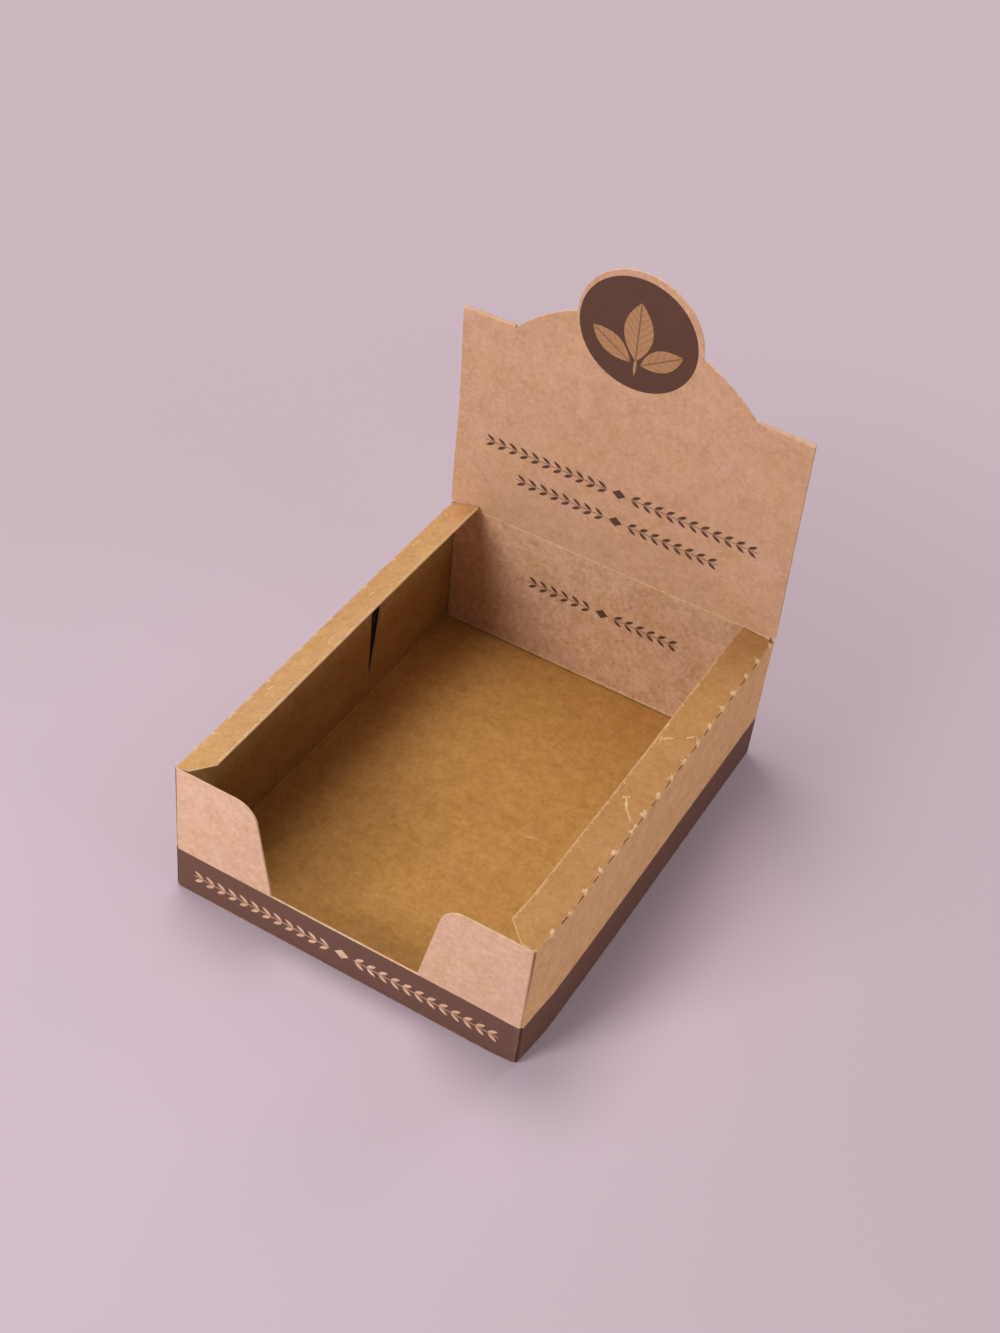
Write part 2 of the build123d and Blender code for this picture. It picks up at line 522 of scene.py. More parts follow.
# The board's grain at its darkest and palest, and the hues that drift over it, as shares of its tone
GRAIN_DARK = (0.72, 0.63, 0.46, 1.0)
GRAIN_PALE = (1.28, 1.37, 1.54, 1.0)
OCHRE_CLOUD = (1.01, 1.00, 0.86, 1.0)
ROSE_CLOUD = (1.00, 0.98, 1.13, 1.0)
PRINTED_GRAIN = 0.85          # how strongly the grain shows on each face
TUCK_GRAIN = 1.35
LEDGE_GRAIN = 0.9
INNER_GRAIN = 1.1
SPECK_SHARE = 0.55            # fine specks, against the blotches
CLOUD_SHARE = 0.25            # slow clouds, against the blotches
INK_DARKEST = 0.86            # ink where it is darkest, as a share of its tone
INK_DRIFT = 0.28              # how much paler it gets

# Stray fibres: how they are drawn out, the noise that they show between, and their strength
DARK_FIBRE_STRETCH = (1.0, 0.55, 0.75)
DARK_FIBRE_RANGE = (0.63, 0.75)
DARK_FIBRE_SHARE = 0.2
PALE_FIBRE_STRETCH = (0.6, 1.0, 0.8)
PALE_FIBRE_RANGE = (0.64, 0.76)
PALE_FIBRE_SHARE = 0.12

# Fineness of the patterns, in waves for each metre
CLOUD_SCALE = 34.0
HUE_SCALE = 55.0
STRAY_SCALE = 70.0
BLOTCH_SCALE = 130.0
PULP_SCALE = 260.0
SHEEN_SCALE = 300.0
INK_SCALE = 420.0
WAVER_SCALE = 500.0
SPECK_SCALE = 520.0
WEAR_SCALE = 520.0
PALE_FIBRE_SCALE = 600.0
DARK_FIBRE_SCALE = 640.0
FIBRE_SCALE = 1100.0

# Print
PRINT_EDGE = 0.00012          # softness at the edge of the print
BAND_FOOT = 0.00005           # the ink band starts under the folds at the foot
BAND_TOP = 0.0214
BAND_MIDDLE = (BAND_FOOT + BAND_TOP) / 2
DISC_RADIUS = 0.0251
DISC_CENTRE = 0.1188          # the print sits a little low and to the left on its round field
DISC_ASIDE = -0.0006
EMBLEM_LEAVES = ((0.0, 0.0135, 0.0062), (58.0, 0.0102, 0.0047), (-58.0, 0.0102, 0.0047))
EMBLEM_ROOT = 0.0145          # centre of the disc down to where its leaves meet
STALK_LENGTH = 0.0046
STALK_BREADTH = 0.0007
VEIN_PITCH = 0.0034
VEIN_SLOPE = 1.1
VEIN_RANGE = (0.10, 0.22)     # share of the pitch over which a side vein fades
SIDE_VEIN_SHARE = 0.6         # side veins, against the middle one
LEAF_COVER = 0.8              # how much of their own tones the leaves and veins on the disc show
VEIN_COVER = 0.6
LEAF_PITCH = 0.0052
LEAF_LENGTH = 0.0024
LEAF_BREADTH = 0.00085
LEAF_LIFT = 0.0016
LEAF_ANGLE = math.radians(33)
LOZENGE_SLOPE = 0.8
STEM_HALF = 0.00022
HEADER_ROWS = ((0.0405, 12), (0.0260, 9))
TUCK_ROW = (-0.0255, 7)
FRONT_ROW = 13

# A place on the lid belongs to its front layer or to its rear one, with a soft step between these
LAYER_INSIDE = 0.5 * LAYER_HALF
LAYER_OUTSIDE = 0.8 * LAYER_HALF

# Wear
WEAR_REACH = 0.0009
FINE_WEAR = 0.0005            # reach of a scratch
FOOT_WEAR = 0.0018            # reach of the wear along the foot of the tucked end
CREASE_WEAR = 0.7 * SCORE_HALF
TUFT_REACH = 0.0021
WEAR_CONTRAST = 3.6           # how patchy the wear is
WEAR_WHOLE = 1.3              # how much of a worn fold stays whole
WEAR_EDGE = 0.35              # softness of a patch, as a share of its reach
ROUND_INSET = 0.3             # share of its radius that a rounded fold lies inside its corner
FLAP_EDGE_TOP = CREASE.z + 5 * BOARD  # just over the cut edges of the sprung flaps
SCRATCH_START = (0.0225, 0.0002, BOARD)
SCRATCH_END = (0.0262, 0.0016, BOARD)

# How bare each place is rubbed
# the left flap's free edge is paler partly from wear and partly as a painted highlight
LEFT_EDGE_WEAR_AND_HIGHLIGHT = 0.7
RIGHT_EDGE_BARE = 0.4
FLAP_FOLD_BARE = 0.3
TORN_BARE = 0.85
CREASE_BARE = 0.5
TUCK_FOOT_BARE = 0.7
FOOT_BARE = 0.15
CORNER_BARE = 0.05
SCRATCH_BARE = 0.4
WALL_FOOT_BARE = 0.3


def board_colour(finish, tone, grain):
    """Kraft with slow clouds, blotchy grain and stray fibres. Its palest grain is also its greyest."""
    blotches = finish.mottle(BLOTCH_SCALE, detail=4.0, shift=3.0, roughness=0.85) - 0.5
    specks = finish.mottle(SPECK_SCALE, detail=1.0, shift=37.0, roughness=0.8) - 0.5
    cloud = finish.mottle(CLOUD_SCALE, detail=3.0) - 0.5
    paleness = 0.5 + (blotches + specks * SPECK_SHARE) * grain + cloud * CLOUD_SHARE
    shade = finish.mix(paleness, GRAIN_DARK, GRAIN_PALE)
    hue = finish.mix(finish.mottle(HUE_SCALE, shift=13.0), OCHRE_CLOUD, ROSE_CLOUD)
    base = finish.mix(1.0, finish.mix(1.0, tone, shade, "MULTIPLY"), hue, "MULTIPLY")
    dark = finish.mottle(DARK_FIBRE_SCALE, stretch=DARK_FIBRE_STRETCH, shift=11.0)
    pale = finish.mottle(PALE_FIBRE_SCALE, stretch=PALE_FIBRE_STRETCH, shift=19.0)
    darkened = finish.mix(dark.above(*DARK_FIBRE_RANGE) * DARK_FIBRE_SHARE, base, DARK_FIBRE)
    return finish.mix(pale.above(*PALE_FIBRE_RANGE) * PALE_FIBRE_SHARE, darkened, PALE_FIBRE)


def board_height(finish):
    """Surface of the board: fibres over the soft unevenness of pressed pulp."""
    fibres = finish.mottle(FIBRE_SCALE, detail=4.0)
    return fibres * FIBRE_SHARE + finish.mottle(PULP_SCALE, detail=3.0, shift=5.0)


def wear(finish, gap, reach=WEAR_REACH):
    """Mask of fibres rubbed bare in patches near a fold or an edge, given the distance to it."""
    patches = finish.mottle(WEAR_SCALE, detail=3.0, shift=23.0, roughness=0.7)
    reached = (patches * WEAR_CONTRAST - WEAR_WHOLE) * reach
    return (gap - reached).below(0, reach * WEAR_EDGE)


def paper(finish, colour, relief=0.0):
    """Closes a finish as dry board, with any marks that stand up from its grain."""
    roughness = PAPER_ROUGHNESS + finish.mottle(SHEEN_SCALE) * ROUGHNESS_DRIFT
    return finish.close(colour, roughness, board_height(finish) + relief)


def uneven_ink(finish, tone):
    """Brown ink, a little thinner on the high spots of the board."""
    cover = INK_DARKEST + finish.mottle(INK_SCALE, detail=3.0, shift=41.0, roughness=0.8) * INK_DRIFT
    shade = finish.add("ShaderNodeCombineColor", {}, {0: cover, 1: cover, 2: cover})
    return finish.mix(1.0, tone, shade, "MULTIPLY")


def leaf(along, aside, length, breadth):
    """Above zero inside a pointed leaf, given places along and beside its rib."""
    share = along / length
    return breadth * (1 - share * share) - abs(aside)


def leaf_row(finish, up, pairs):
    """Mask of a stem with pairs of leaves that grow outwards from a lozenge at its middle."""
    reach = abs(finish.x)
    along = ((reach / LEAF_PITCH).fraction() - 0.5) * LEAF_PITCH
    height = abs(up) - LEAF_LIFT
    leaned = along * math.cos(LEAF_ANGLE) + height * math.sin(LEAF_ANGLE)
    aside = height * math.cos(LEAF_ANGLE) - along * math.sin(LEAF_ANGLE)
    leaves = leaf(leaned, aside, LEAF_LENGTH, LEAF_BREADTH)
    stem = STEM_HALF - abs(up)
    twig = finish.most(leaves, stem).above(0, PRINT_EDGE)
    row_end = pairs * LEAF_PITCH
    held = reach.above(LEAF_PITCH, LEAF_PITCH + PRINT_EDGE) * reach.below(row_end - PRINT_EDGE, row_end)
    lozenge = (reach * LOZENGE_SLOPE + abs(up)).below(LEAF_LENGTH, LEAF_LENGTH + PRINT_EDGE)
    return finish.most(twig * held, lozenge)


def emblem(finish, up):
    """Masks of a printed disc, of the leaves left bare on it, and of the veins in the leaves."""
    aside = finish.x - DISC_ASIDE
    disc = finish.distance(aside, up).below(DISC_RADIUS, DISC_RADIUS + PRINT_EDGE)
    leaves = []
    veins = []
    for degrees, length, breadth in EMBLEM_LEAVES:
        turn = math.radians(degrees)
        rise = up + EMBLEM_ROOT
        along = aside * math.sin(turn) + rise * math.cos(turn) - (length + LEAF_LENGTH)
        beside = aside * math.cos(turn) - rise * math.sin(turn)
        inside = leaf(along, beside, length, breadth)
        leaves.append(inside)
        rib = abs(beside).below(STEM_HALF, 2 * STEM_HALF)
        side_rib = ((along - abs(beside) * VEIN_SLOPE) / VEIN_PITCH).fraction().below(*VEIN_RANGE)
        veins.append(inside.above(0, PRINT_EDGE) * finish.most(rib, side_rib * SIDE_VEIN_SHARE))
    stalk = leaf(up + EMBLEM_ROOT, aside, STALK_LENGTH, STALK_BREADTH)
    bare = finish.most(*leaves, stalk).above(0, PRINT_EDGE)
    return disc, disc * bare, finish.most(*veins)


def cut_board():
    """Cut edges of the board: pale, paler still on the flaps as a painted highlight, and with painted
    shade in the seams at the ends of the side walls: darker high up, paler lower down, darkest beside
    the ink band.
    """
    finish = Finish("cut_edge")
    at_end = abs(finish.y).above(SIDE_HALF - BOARD / 4, SIDE_HALF - NEAR)
    at_side = abs(finish.x).above(PANEL_HALF, PANEL_HALF + BEND / 2)
    in_seam = at_end * at_side * finish.z.below(WALL_HEIGHT - BOARD, WALL_HEIGHT - BOARD / 2)
    over_hinge = finish.z.above(HINGE.z, WALL_HEIGHT)
    on_flap = over_hinge * finish.z.below(FLAP_EDGE_TOP, FLAP_EDGE_TOP + BOARD)
    # painted highlight: the flaps' cut edges are paler
    flap_edge_highlight = on_flap * abs(finish.y).below(FLAP_BACK - NEAR, FLAP_BACK)
    colour = board_colour(finish, finish.mix(flap_edge_highlight, CUT_EDGE, FLAP_EDGE_HIGHLIGHT), PRINTED_GRAIN)
    # painted shade in the seam, fading from the top of the wall down to the band, and darkest beside it
    bare = finish.mix(finish.z.above(BAND_TOP, WALL_HEIGHT), SEAM_PALE, SEAM_SHADE)
    shade = finish.mix(finish.z.below(BAND_TOP, BAND_TOP + PRINT_EDGE), bare, SEAM_BAND_SHADE)
    return paper(finish, finish.mix(in_seam, colour, shade))


def inside_kraft():
    """The unprinted face, worn along the side walls' feet, with painted shade: its walls are a darker
    copy of the floor's kraft, and the wall between the glued flaps is near-black.
    """
    finish = Finish("inner_kraft")
    on_floor = finish.z.below(BOARD, BOARD + BEND)
    in_lid = finish.z.above(CREASE.z, CREASE.z + BOARD)
    # painted shade: the walls take a darker tone than the floor and the lid's inner layer
    tone = finish.mix(finish.most(on_floor, in_lid), SHADED_WALL_KRAFT, FLOOR_KRAFT)
    on_wall = abs(finish.x).above(HALF_WIDTH - BOARD - BOARD / 4, HALF_WIDTH - BOARD - NEAR)
    beside_gap = abs(finish.y - (SLIT_PLACE + SLIT_TOP / 2)).below(SLIT_TOP, SLIT_TOP + BOARD)
    above_foot = finish.z.above(SLIT_SHUT - BOARD, SLIT_SHUT)
    behind_flaps = above_foot * finish.z.below(GLUE_TOP - BOARD, GLUE_TOP)
    # painted shade: the wall behind the gap between the glued flaps is coloured near-black
    shaded = on_wall * beside_gap * behind_flaps
    colour = finish.mix(shaded, board_colour(finish, tone, INNER_GRAIN), GAP_SHADE)
    scratch = wear(finish, finish.gap_to(SCRATCH_START, SCRATCH_END), FINE_WEAR)
    across = abs(finish.x) - (HALF_WIDTH - 2 * BOARD)
    wall_foot = wear(finish, finish.distance(across, finish.z - BOARD), FINE_WEAR)
    worn = finish.most(scratch * SCRATCH_BARE, wall_foot * WALL_FOOT_BARE)
    return paper(finish, finish.mix(worn, colour, PALE_FIBRE), scratch)


def corner_gap(finish):
    """Distance from the nearest upright corner fold of the front."""
    across = abs(finish.x) - (PANEL_HALF + BEND * (1 - ROUND_INSET))
    along = finish.y + (HALF_DEPTH - BEND * ROUND_INSET)
    return finish.distance(across, along)


def foot_gap(finish):
    """Distance from the folds round the floor."""
    side = abs(abs(finish.x) - (HALF_WIDTH - BEND * ROUND_INSET))
    end = abs(abs(finish.y) - (HALF_DEPTH - BEND * ROUND_INSET))
    return finish.distance(finish.math("MINIMUM", side, end), finish.z - BEND * ROUND_INSET)


def printed_tray():
    """Outside of the tray: an ink band round its foot, with a row of leaves left bare on the front."""
    finish = Finish("printed_tray")
    front = (0 - finish.y).above(HALF_DEPTH - BEND, HALF_DEPTH - BEND / 2)
    back = finish.y.above(HALF_DEPTH - BEND, HALF_DEPTH - BEND / 2)
    # painted light and shade: a lighter tone on the front and a darker one on the sides
    tone = finish.mix(back, finish.mix(front, SIDE_SHADED_KRAFT, FRONT_LIT_KRAFT), LID_KRAFT)
    colour = board_colour(finish, tone, PRINTED_GRAIN)
    wavering = finish.z + (finish.mottle(WAVER_SCALE, shift=31.0) - 0.5) * PRINT_EDGE
    over_foot = wavering.above(BAND_FOOT, BAND_FOOT + PRINT_EDGE)
    band = over_foot * wavering.below(BAND_TOP, BAND_TOP + PRINT_EDGE)
    row = leaf_row(finish, finish.z - BAND_MIDDLE, FRONT_ROW) * front
    # painted light: the front band takes a paler copy of the ink
    band_ink = uneven_ink(finish, finish.mix(front, DEEP_INK, FRONT_LIT_INK))
    printed = finish.mix(band * (1 - row), colour, band_ink)
    worn_foot = wear(finish, foot_gap(finish)) * FOOT_BARE
    worn_corner = wear(finish, corner_gap(finish)) * CORNER_BARE
    worn = finish.most(worn_foot, worn_corner)
    return paper(finish, finish.mix(worn, printed, PALE_FIBRE), worn)


def printed_lid():
    """Outside of the lid: the disc and rows of leaves on the header, and a row on the tuck panel."""
    finish = Finish("printed_lid")
    behind = finish.y - CREASE.y
    height = finish.z - CREASE.z
    tucked = behind.below(-LAYER_OUTSIDE, -LAYER_INSIDE) * height.below(-SCORE_HALF, 0)
    colour = board_colour(finish, LID_KRAFT, PRINTED_GRAIN + tucked * (TUCK_GRAIN - PRINTED_GRAIN))
    up = height * math.cos(HEADER_LEAN) - behind * math.sin(HEADER_LEAN)
    facing = 0 - behind * math.cos(HEADER_LEAN) - height * math.sin(HEADER_LEAN)
    on_header = facing.above(LAYER_INSIDE, LAYER_OUTSIDE) * up.above(0, SCORE_HALF)
    rows = [leaf_row(finish, up - place, pairs) * on_header for place, pairs in HEADER_ROWS]
    tuck_place, tuck_pairs = TUCK_ROW
    rows.append(leaf_row(finish, height - tuck_place, tuck_pairs) * tucked)
    disc, bare, veins = emblem(finish, up - DISC_CENTRE)
    print_mask = finish.most(*rows, disc * (1 - bare) * on_header)
    printed = finish.mix(print_mask, colour, uneven_ink(finish, DEEP_INK))
    printed = finish.mix(bare * on_header * LEAF_COVER, printed, LEAF_KRAFT)
    printed = finish.mix(veins * on_header * VEIN_COVER, printed, DEEP_INK)
    crease = wear(finish, abs(up), CREASE_WEAR) * CREASE_BARE
    foot = wear(finish, abs(finish.z - TUCK_FOOT), FOOT_WEAR) * TUCK_FOOT_BARE
    worn = finish.most(crease, foot)
    return paper(finish, finish.mix(worn, printed, PALE_FIBRE), worn)


def flap_place(side, lift, inwards, along):
    """A place on the top face of a flap, given its distance from the fold."""
    return Vector((
        side * (HINGE.x + math.sin(lift) * BOARD / 2 - math.cos(lift) * inwards),
        along,
        HINGE.z + math.cos(lift) * BOARD / 2 + math.sin(lift) * inwards,
    ))


# Creases and scuffs on a flap, in millimetres: two places, each as its distance from the fold and its
# place along the flap, and then a width
RIGHT_SCUFFS = (
    ((11.5, 19.0), (8.9, 22.0), 0.45),
    ((12.5, 19.5), (11.7, 16.0), 0.30),
    ((4.6, 25.8), (2.4, 28.9), 0.45),
    ((2.4, 28.9), (0.3, 28.6), 0.35),
    ((10.3, -17.1), (8.5, -15.9), 0.55),
    ((9.4, -16.6), (6.9, -21.4), 0.75),
    ((6.9, -21.4), (3.0, -25.4), 0.40),
    ((0.4, -25.9), (0.1, -30.3), 0.60),
    ((13.8, 25.0), (13.2, 27.0), 0.45),
    ((13.6, -10.5), (12.6, -11.4), 0.45),
)
LEFT_SCUFFS = (
    ((6.2, 22.4), (7.0, 24.6), 0.5),
    ((9.5, -12.0), (8.9, -8.0), 0.4),
    ((4.0, -46.0), (5.2, -43.5), 0.5),
    ((3.0, 61.0), (3.4, 65.0), 0.4),
)
MILLIMETRE = 0.001


def flap_face(name, side, lift, ledge_tone, scuffs, edge_wear_and_highlight):
    """Top of a flap, with its creases, and fibres torn up at the bridges of its perforated fold."""
    finish = Finish(name)
    # painted shade: the flap sheet's wall part takes the sides' darker tone
    wall_tone = finish.z.below(HINGE.z - FLAP_ROUND / 2, WALL_HEIGHT)
    # painted light and shade: ledge_tone is a lighter copy on the left flap and a darker copy on the
    # right
    colour = board_colour(finish, finish.mix(wall_tone, ledge_tone, SIDE_SHADED_KRAFT), LEDGE_GRAIN)
    marks = []
    for start, end, width in scuffs:
        ends = [
            flap_place(side, lift, MILLIMETRE * inwards, MILLIMETRE * along)
            for inwards, along in (start, end)
        ]
        marks.append(wear(finish, finish.gap_to(*ends), MILLIMETRE * width))
    from_fold = finish.distance(finish.x * side - HALF_WIDTH, finish.z - WALL_HEIGHT)
    strayed = finish.y + (finish.mottle(STRAY_SCALE, shift=29.0) - 0.5) * (BRIDGE_PITCH / 2)
    from_bridge = abs(((strayed - BRIDGE_FIRST) / BRIDGE_PITCH + 0.5).fraction() - 0.5) * BRIDGE_PITCH
    marks.append(wear(finish, finish.distance(from_fold, from_bridge), TUFT_REACH))
    torn = finish.most(*marks)
    inwards = (HINGE.x + math.sin(lift) * BOARD / 2 - side * finish.x) / math.cos(lift)
    # wear along the free edge, which on the left flap is also a painted highlight
    free_edge = wear(finish, abs(FLAP_WIDTH - inwards)) * edge_wear_and_highlight
    along_fold = wear(finish, from_fold) * FLAP_FOLD_BARE
    worn = finish.most(torn * TORN_BARE, along_fold, free_edge)
    return paper(finish, finish.mix(worn, colour, PALE_FIBRE), torn * MARK_RELIEF)


inner_kraft = inside_kraft()
cut_edge = cut_board()
tray_face = printed_tray()
lid_face = printed_lid()
left_flap_face = flap_face(
    "left_flap_face", -1, LEFT_LIFT, LEFT_LEDGE_LIT_KRAFT, LEFT_SCUFFS, LEFT_EDGE_WEAR_AND_HIGHLIGHT
)
right_flap_face = flap_face(
    "right_flap_face", 1, RIGHT_LIFT, RIGHT_LEDGE_SHADED_KRAFT, RIGHT_SCUFFS, RIGHT_EDGE_BARE
)


# Tray

def tray_shell():
    """Floor, walls, front tabs and glued corner flaps, folded from one sheet."""
    sheet = start_sheet("tray_shell", (0, 0, 0), (2 * HALF_WIDTH, 2 * HALF_DEPTH), (math.pi, 0, 0))
    for side in (-1, 1):
        cut((side * PANEL_HALF, 0, 0), (1, 0, 0))
        cut((0, side * SIDE_HALF, 0), (0, 1, 0))
    pick("faces", lambda p: abs(p.x) > PANEL_HALF - NEAR and abs(p.y) > SIDE_HALF - NEAR)
    bpy.ops.mesh.delete(type="FACE")

    # Walls, rounded where they fold up from the floor
    extrude_edges(lambda p: near(abs(p.x), HALF_WIDTH), (0, 0, GLUE_TOP))
    extrude_edges(lambda p: near(p.y, -HALF_DEPTH), (0, 0, LIP_HEIGHT))
    extrude_edges(lambda p: near(p.y, HALF_DEPTH), (0, 0, GLUE_TOP))
    round_edges(
        lambda p: near(p.z, 0) and (near(abs(p.x), HALF_WIDTH) or near(abs(p.y), HALF_DEPTH)), BEND
    )

    # Front tabs, with their rounded corners beside the opening
    for side in (-1, 1):
        cut((side * OPENING_FOOT, 0, 0), (1, 0, 0))
    extrude_edges(
        lambda p: near(p.y, -HALF_DEPTH) and near(p.z, LIP_HEIGHT) and abs(p.x) > OPENING_FOOT - NEAR,
        (0, 0, WALL_HEIGHT - LIP_HEIGHT),
    )
    for side in (-1, 1):
        move_verts(
            lambda p: near(p.x, side * OPENING_FOOT) and near(p.z, WALL_HEIGHT),
            (side * (OPENING_TOP - OPENING_FOOT), 0, 0),
        )
    pick("verts", lambda p: near(abs(p.x), OPENING_TOP) and near(p.z, WALL_HEIGHT))
    bpy.ops.mesh.bevel(offset=TAB_ROUND_START, segments=TAB_STEPS, affect="VERTICES")
    cut((0, 0, GLUE_TOP), (0, 0, 1))

    # Corner folds, and the flaps glued inside the side walls
    glue_side = PANEL_HALF + BEND
    rear_edge = SLIT_PLACE + SLIT_FOOT
    for side in (-1, 1):
        for end, fold_top, reach in ((-1, WALL_HEIGHT, SLIT_PLACE), (1, GLUE_TOP, rear_edge)):
            corner_fold(side, end, BEND, fold_top)
            corner = end * (HALF_DEPTH - BEND)
            extrude_edges(
                lambda p: (
                    near(p.x, side * PANEL_HALF)
                    and end * (p.y - corner) > -NEAR
                    and p.z < BEND + NEAR
                ),
                (side * CORNER_FILL, -end * CORNER_FILL / 2, 0),
            )
            extrude_edges(
                lambda p: near(p.x, side * glue_side) and near(p.y, corner) and p.z < GLUE_TOP + NEAR,
                (0, reach - corner, 0),
            )
    cut((0, 0, SLIT_SHUT), (0, 0, 1))
    cut((0, 0, SLIT_START), (0, 0, 1))
    for height, gap in ((SLIT_START, SLIT_START_GAP), (GLUE_TOP, SLIT_TOP)):
        move_verts(
            lambda p: near(abs(p.x), glue_side) and near(p.y, rear_edge) and near(p.z, height),
            (0, gap - SLIT_FOOT, 0),
        )
    divide(Vector((-HALF_WIDTH, -HALF_DEPTH, 0)), Vector((HALF_WIDTH, HALF_DEPTH, WALL_HEIGHT)))
    curl_glue_flaps(glue_side)
    thicken(sheet, tray_face)
    settle(sheet)
    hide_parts("tray")
    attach(sheet, "tray")


def curl_glue_flaps(glue_side):
    """Lets the glued flaps lift off the walls beside the gap between them."""
    shape = bmesh.from_edit_mesh(bpy.context.object.data)
    for vertex in shape.verts:
        place = vertex.co
        glued = near(abs(place.x), glue_side) and abs(place.y) < HALF_DEPTH - BEND - NEAR
        if glued:
            side = math.copysign(1, place.x)
            from_gap = abs(place.y - SLIT_PLACE) / SLIT_CURL_REACH
            lift = SLIT_CURL * smooth(1 - from_gap, 0, 1) * (place.z / GLUE_TOP)
            place.x -= side * (GLUE_AIR + lift)
    bmesh.update_edit_mesh(bpy.context.object.data)


# Header and tuck panel

def add_disc(radius, height, points):
    """Adds a filled circle to the sheet that is open, standing in the plane of the header's front."""
    bpy.ops.mesh.primitive_circle_add(
        vertices=points,
        radius=radius,
        fill_type="NGON",
        location=(0, CREASE.y - LAYER_HALF, CREASE.z + height),
        rotation=(RIGHT_ANGLE, 0, 0),
    )


def header_sheet():
    """The lid: its end tucked down inside the tray, and the rest folded back on itself as a header."""
    front = CREASE.y - LAYER_HALF
    rear = CREASE.y + LAYER_HALF
    fold = CREASE.z + FOLD_LINE
    neck = CREASE.z + NECK_LINE
    sheet = start_sheet(
        "header_sheet",
        (0, front, CREASE.z + FOLD_LINE / 2),
        (2 * HALF_WIDTH, FOLD_LINE),
        (RIGHT_ANGLE, 0, 0),
    )
    for side in (-1, 1):
        for across in (ARCH_HALF, ARCH_HALF + SHOULDER_SLIT, PANEL_HALF, TUCK_HALF):
            cut((side * across, 0, 0), (1, 0, 0))

    # Arch and round field over the shoulders
    add_disc(ARCH_RADIUS, ARCH_CENTRE, ARCH_POINTS)
    bpy.ops.mesh.bisect(plane_co=(0, front, fold), plane_no=(0, 0, 1), clear_inner=True)
    pick("faces", lambda p: p.z > fold - NEAR)
    bpy.ops.mesh.bisect(plane_co=(0, front, neck), plane_no=(0, 0, 1), clear_outer=True)
    add_disc(EMBLEM_RADIUS, EMBLEM_CENTRE, EMBLEM_POINTS)
    bpy.ops.mesh.bisect(plane_co=(0, front, neck), plane_no=(0, 0, 1), clear_inner=True)
    bpy.ops.mesh.select_all(action="SELECT")
    bpy.ops.mesh.remove_doubles(threshold=JOIN)

    # Shoulders folded over to the rear layer, which runs down into the back wall
    shoulder = ARCH_HALF + SHOULDER_SLIT
    pick("edges", lambda p: near(p.z, fold) and abs(p.x) > shoulder - NEAR)
    bpy.ops.mesh.spin(steps=SHOULDER_STEPS, angle=math.pi, center=(0, CREASE.y, fold), axis=(1, 0, 0))
    extrude_edges(lambda p: near(p.y, rear) and near(p.z, fold), (0, 0, -FOLD_LINE))
    pick("edges", lambda p: near(p.y, rear) and near(abs(p.x), shoulder))
    bpy.ops.mesh.edge_face_add()
    extrude_edges(
        lambda p: near(p.y, rear) and near(p.z, CREASE.z) and abs(p.x) < PANEL_HALF + NEAR,
        (0, 0, GLUE_TOP - CREASE.z),
    )
    cut((0, 0, CREASE.z - SCORE_HALF), (0, 0, 1))
    for side in (-1, 1):
        corner_fold(side, 1, GLUE_TOP, CREASE.z - SCORE_HALF)

    # Tuck panel
    extrude_edges(
        lambda p: near(p.y, front) and near(p.z, CREASE.z) and abs(p.x) < TUCK_HALF + NEAR,
        (0, 0, TUCK_FOOT - CREASE.z),
    )

    # Scored crease, and the lean of the header over it
    for share in (-1, -0.5, 0.5, 1):
        cut((0, 0, CREASE.z + share * SCORE_HALF), (0, 0, 1))
    for layer, inward in ((front, 1), (rear, -1)):
        move_verts(
            lambda p: near(p.y, layer) and near(p.z, CREASE.z), (0, inward * SCORE_DEPTH, 0)
        )
    divide(Vector((-HALF_WIDTH, front, TUCK_FOOT)), Vector((HALF_WIDTH, rear, fold + CROWN_REACH)))
    pick("verts", lambda p: p.z > CREASE.z - NEAR)
    bpy.ops.transform.rotate(
        value=-HEADER_LEAN, orient_axis="X", center_override=tuple(CREASE)
    )
    thicken(sheet, lid_face, doubled=True)
    carve(sheet, window_cutter())
    settle(sheet)
    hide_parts("header", "tuck_panel")
    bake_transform(sheet)


def window_cutter():
    """The shape that the arch and the round field leave open in the rear layer."""
    circles = ((ARCH_RADIUS, ARCH_CENTRE, ARCH_POINTS), (EMBLEM_RADIUS, EMBLEM_CENTRE, EMBLEM_POINTS))
    cutters = []
    for radius, centre, points in circles:
        bpy.ops.mesh.primitive_cylinder_add(
            vertices=points,
            radius=radius,
            depth=LAYER_HALF,
            location=(0, CREASE.y + LAYER_HALF / 2 + BOARD / 8, CREASE.z + 2 * FOLD_LINE - centre),
            rotation=(RIGHT_ANGLE, 0, 0),
        )
        cutters.append(bpy.context.object)
    arch, field = cutters
    bpy.ops.object.select_all(action="DESELECT")
    for cutter in cutters:
        cutter.select_set(True)
    bpy.ops.object.transform_apply(location=True, rotation=True, scale=True)
    apply_modifier(arch, "BOOLEAN", operation="UNION", object=field, solver="EXACT")
    bpy.data.objects.remove(field, do_unlink=True)
    lean = Matrix.Rotation(HEADER_LEAN, 4, "X")
    arch.data.transform(Matrix.Translation(CREASE) @ lean @ Matrix.Translation(-CREASE))
    return arch


# Top flaps

